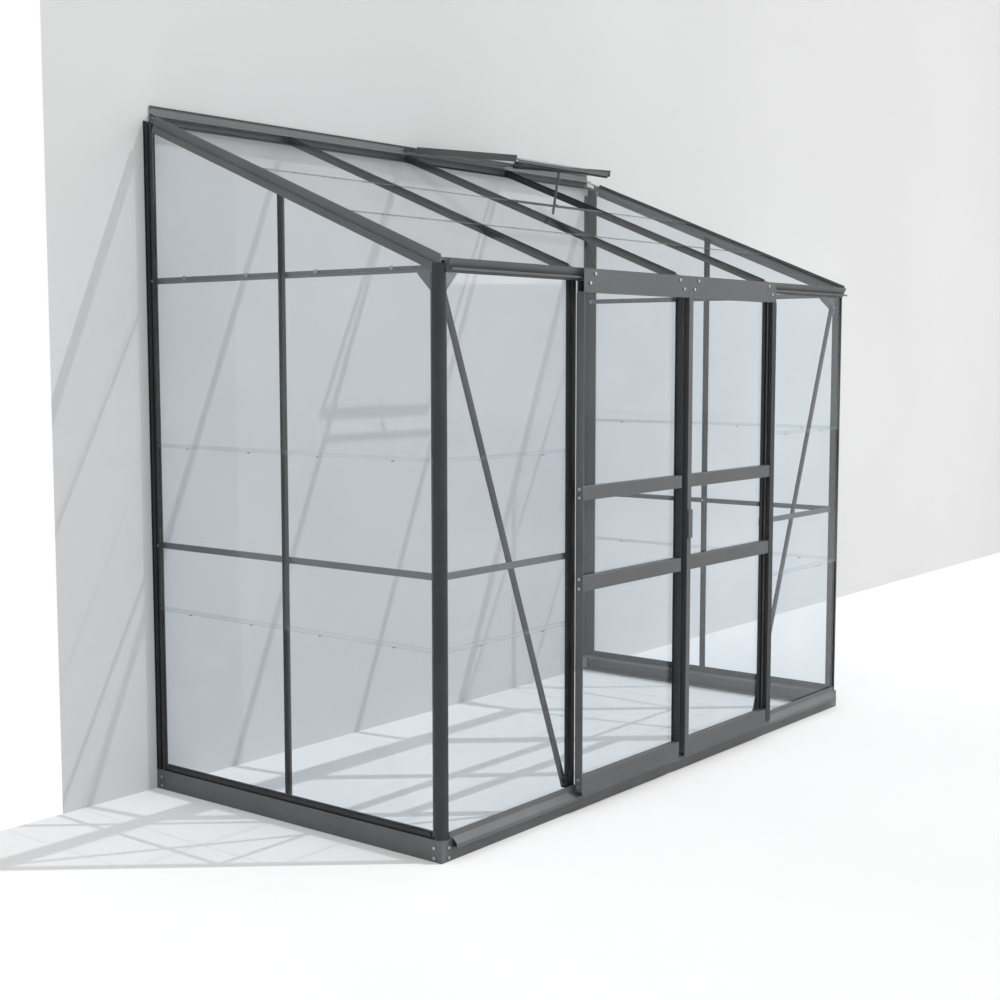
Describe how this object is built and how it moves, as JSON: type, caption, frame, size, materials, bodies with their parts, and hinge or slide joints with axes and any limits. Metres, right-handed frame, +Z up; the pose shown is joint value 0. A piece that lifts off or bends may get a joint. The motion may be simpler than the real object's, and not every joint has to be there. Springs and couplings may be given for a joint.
{
  "type": "lean-to greenhouse",
  "caption": "Lean-to greenhouse with a dark aluminium frame, clear glass panes, sliding front doors and a hinged roof vent",
  "frame": {"origin": "on the ground under the middle of the whole object, bolt heads included", "axes": "+X along the length from the left gable to the right gable, +Y from the doors to the wall, +Z up"},
  "size_m": [2.577, 1.33, 2.303],
  "materials": {
    "frame_coating": "satin powder coat",
    "door_coating": "satin powder coat",
    "clear_glass": "clear polished",
    "black_rubber": "matt",
    "black_nylon": "matt",
    "zinc_bolt": "zinc plated",
    "spring_steel": "plain"
  },
  "bodies": {
    "frame": {"base_front_rail": "frame_coating", "base_side_rails": "frame_coating", "base_corner_angles": "frame_coating", "base_bolts": "zinc_bolt", "front_track_sill": "frame_coating", "side_sills": "frame_coating", "corner_post_left": "frame_coating", "corner_post_right": "frame_coating", "side_bars": "frame_coating", "door_jamb_left": "frame_coating", "door_jamb_right": "frame_coating", "wall_post_left": "frame_coating", "wall_post_right": "frame_coating", "side_eave_rails": "frame_coating", "side_waist_rails": "frame_coating", "front_waist_rails": "frame_coating", "corner_braces": "frame_coating", "gusset_plates": "frame_coating", "frame_bolts": "zinc_bolt", "gutter": "frame_coating", "gable_rafter_left": "frame_coating", "gable_rafter_right": "frame_coating", "roof_bars": "frame_coating", "wall_plate": "frame_coating", "vent_sill": "frame_coating", "vent_hinge_pin": "frame_coating", "side_glass_left": "clear_glass", "side_glass_right": "clear_glass", "front_glass": "clear_glass", "roof_glass": "clear_glass", "glass_clips": "spring_steel", "glazing_seals": "black_rubber"},
    "door_left": {"left_door_top_rail": "door_coating", "left_door_mid_rails": "door_coating", "left_door_bottom_rail": "door_coating", "left_door_outer_stile": "door_coating", "left_door_meeting_stile": "door_coating", "left_door_glass": "clear_glass", "left_door_fixings": "zinc_bolt", "left_door_guides": "black_nylon"},
    "door_right": {"right_door_top_rail": "door_coating", "right_door_mid_rails": "door_coating", "right_door_bottom_rail": "door_coating", "right_door_outer_stile": "door_coating", "right_door_meeting_stile": "door_coating", "right_door_glass": "clear_glass", "right_door_fixings": "zinc_bolt", "right_door_guides": "black_nylon", "right_door_handle": "door_coating"},
    "left_wheel_a": {"left_door_wheel_a": "black_nylon"},
    "left_wheel_b": {"left_door_wheel_b": "black_nylon"},
    "right_wheel_a": {"right_door_wheel_a": "black_nylon"},
    "right_wheel_b": {"right_door_wheel_b": "black_nylon"},
    "vent": {"vent_top_rail": "frame_coating", "vent_side_bars": "frame_coating", "vent_front_rail": "frame_coating", "vent_seal": "black_rubber", "vent_glass": "clear_glass", "vent_stay_bracket": "frame_coating"},
    "vent_stay": {"vent_stay_arm": "frame_coating"}
  },
  "joints": [
    {"name": "left_door_slide", "type": "slide", "parent": "frame", "child": "door_left", "axis": [-1, 0, 0], "range_m": [0, 0.6]},
    {"name": "right_door_slide", "type": "slide", "parent": "frame", "child": "door_right", "axis": [1, 0, 0], "range_m": [0, 0.6]},
    {"name": "left_wheel_a_turn", "type": "hinge", "parent": "door_left", "child": "left_wheel_a", "pos_m": [-0.57, -0.645, 1.737], "axis": [0, -1, 0], "range_deg": [-5, 3560]},
    {"name": "left_wheel_b_turn", "type": "hinge", "parent": "door_left", "child": "left_wheel_b", "pos_m": [-0.0605, -0.645, 1.737], "axis": [0, -1, 0], "range_deg": [-5, 3560]},
    {"name": "right_wheel_a_turn", "type": "hinge", "parent": "door_right", "child": "right_wheel_a", "pos_m": [0.0605, -0.645, 1.737], "axis": [0, 1, 0], "range_deg": [-5, 3560]},
    {"name": "right_wheel_b_turn", "type": "hinge", "parent": "door_right", "child": "right_wheel_b", "pos_m": [0.57, -0.645, 1.737], "axis": [0, 1, 0], "range_deg": [-5, 3560]},
    {"name": "vent_hinge", "type": "hinge", "parent": "frame", "child": "vent", "pos_m": [0.318, 0.633, 2.288], "axis": [-1, 0, 0], "range_deg": [-13.9, 25]},
    {"name": "stay_hinge", "type": "hinge", "parent": "vent", "child": "vent_stay", "pos_m": [0.318, 0.13294, 2.19906], "axis": [1, 0, 0], "range_deg": [0, 60]}
  ],
  "couplings": [
    {"joint": "left_wheel_a_turn", "follows": "left_door_slide", "rad_per_m": 103.09},
    {"joint": "left_wheel_b_turn", "follows": "left_door_slide", "rad_per_m": 103.09},
    {"joint": "right_wheel_a_turn", "follows": "right_door_slide", "rad_per_m": 103.09},
    {"joint": "right_wheel_b_turn", "follows": "right_door_slide", "rad_per_m": 103.09}
  ]
}
